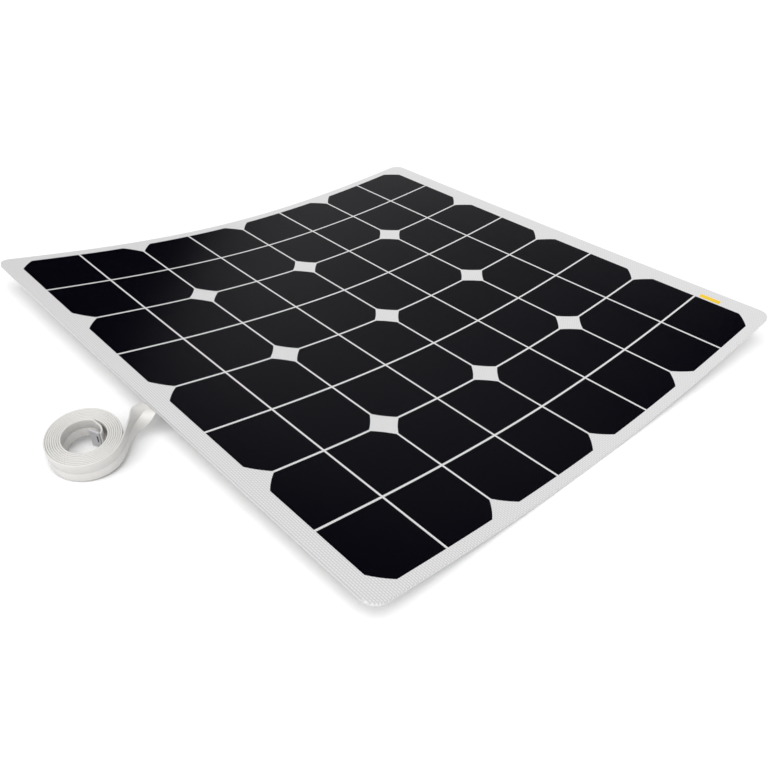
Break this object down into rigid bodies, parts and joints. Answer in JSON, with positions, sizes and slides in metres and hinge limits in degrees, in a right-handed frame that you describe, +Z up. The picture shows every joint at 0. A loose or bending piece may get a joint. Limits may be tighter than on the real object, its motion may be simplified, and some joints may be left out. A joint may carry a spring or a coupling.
{
  "type": "flexible solar sheet",
  "caption": "Thin square solar laminate that rests curled upwards and bends, with a flat white twin lead wound into a flat roll beside it.",
  "frame": {"origin": "on the surface the sheet lies on, under the middle of the sheet's box (the lead left out)", "axes": "+Z up through the cells' faces, +X across the bend from the lead edge to the far edge, Y along the bend lines"},
  "size_m": [0.6312, 0.533, 0.0284],
  "materials": {
    "front_film": "clear, embossed with a fine weave",
    "front_encapsulant": "clear",
    "cells": "near black with a blue cast, satin under the embossed film",
    "rear_encapsulant": "white",
    "cell_surround": "white",
    "cell_links": "tinned copper",
    "bus_ribbons": "tinned copper",
    "backing": "white glass-fibre sheet with a faint weave",
    "exit_cover": "white, fine grain",
    "potting": "black, sealed",
    "terminals": "tinned",
    "diode": "moulded black",
    "lead_jacket": "white, soft satin",
    "end_flap": "light grey, satin"
  },
  "bodies": {
    "centre": {"front_film_centre": "front_film", "front_encapsulant_centre": "front_encapsulant", "cells_centre": "cells", "cell_surround_centre": "cell_surround", "rear_encapsulant_centre": "rear_encapsulant", "cell_links_centre": "cell_links", "bus_ribbons_centre": "bus_ribbons", "backing_centre": "backing", "lead_run_minus": "lead_jacket", "lead_run_plus": "lead_jacket", "lead_roll_minus": "lead_jacket", "lead_roll_plus": "lead_jacket", "lead_tail_minus": "lead_jacket", "lead_tail_plus": "lead_jacket", "lead_end_flap": "end_flap"},
    "lead_mid": {"front_film_lead_mid": "front_film", "front_encapsulant_lead_mid": "front_encapsulant", "cells_lead_mid": "cells", "cell_surround_lead_mid": "cell_surround", "rear_encapsulant_lead_mid": "rear_encapsulant", "cell_links_lead_mid": "cell_links", "bus_ribbons_lead_mid": "bus_ribbons", "backing_lead_mid": "backing"},
    "lead_edge": {"front_film_lead_edge": "front_film", "front_encapsulant_lead_edge": "front_encapsulant", "cells_lead_edge": "cells", "cell_surround_lead_edge": "cell_surround", "rear_encapsulant_lead_edge": "rear_encapsulant", "cell_links_lead_edge": "cell_links", "bus_ribbons_lead_edge": "bus_ribbons", "backing_lead_edge": "backing", "exit_cover": "exit_cover", "exit_potting": "potting", "terminal_plates": "terminals", "bypass_diode": "diode", "exit_boot": "exit_cover", "lead_entry_minus": "lead_jacket", "lead_entry_plus": "lead_jacket"},
    "far_mid": {"front_film_far_mid": "front_film", "front_encapsulant_far_mid": "front_encapsulant", "cells_far_mid": "cells", "cell_surround_far_mid": "cell_surround", "rear_encapsulant_far_mid": "rear_encapsulant", "cell_links_far_mid": "cell_links", "bus_ribbons_far_mid": "bus_ribbons", "backing_far_mid": "backing"},
    "far_edge": {"front_film_far_edge": "front_film", "front_encapsulant_far_edge": "front_encapsulant", "cells_far_edge": "cells", "cell_surround_far_edge": "cell_surround", "rear_encapsulant_far_edge": "rear_encapsulant", "cell_links_far_edge": "cell_links", "bus_ribbons_far_edge": "bus_ribbons", "backing_far_edge": "backing"}
  },
  "joints": [
    {"name": "sheet_bend", "type": "hinge", "parent": "centre", "child": "far_mid", "pos_m": [0.0625, 0, 0.00274], "axis": [0, -1, 0], "range_deg": [-3.8, 4.5], "stiffness_Nm_per_rad": 12, "springref_deg": 0.63},
    {"name": "lead_mid_bend", "type": "hinge", "parent": "centre", "child": "lead_mid", "pos_m": [-0.06646, 0, 0.00274], "axis": [0, 1, 0], "range_deg": [-3.8, 4.5], "stiffness_Nm_per_rad": 12, "springref_deg": 0.63},
    {"name": "far_edge_bend", "type": "hinge", "parent": "centre", "child": "far_edge", "pos_m": [0.10932, 0, 0.00656], "axis": [0, -1, 0], "range_deg": [-6, 7.1], "stiffness_Nm_per_rad": 8, "springref_deg": 0.99},
    {"name": "lead_edge_bend", "type": "hinge", "parent": "centre", "child": "lead_edge", "pos_m": [-0.11328, 0, 0.00656], "axis": [0, 1, 0], "range_deg": [-6, 7.1], "stiffness_Nm_per_rad": 8, "springref_deg": 0.99, "deforming": ["lead_run_minus", "lead_run_plus"]}
  ],
  "couplings": [
    {"joint": "lead_mid_bend", "follows": "sheet_bend", "ratio": 1},
    {"joint": "far_edge_bend", "follows": "sheet_bend", "ratio": 1.573},
    {"joint": "lead_edge_bend", "follows": "sheet_bend", "ratio": 1.573}
  ]
}
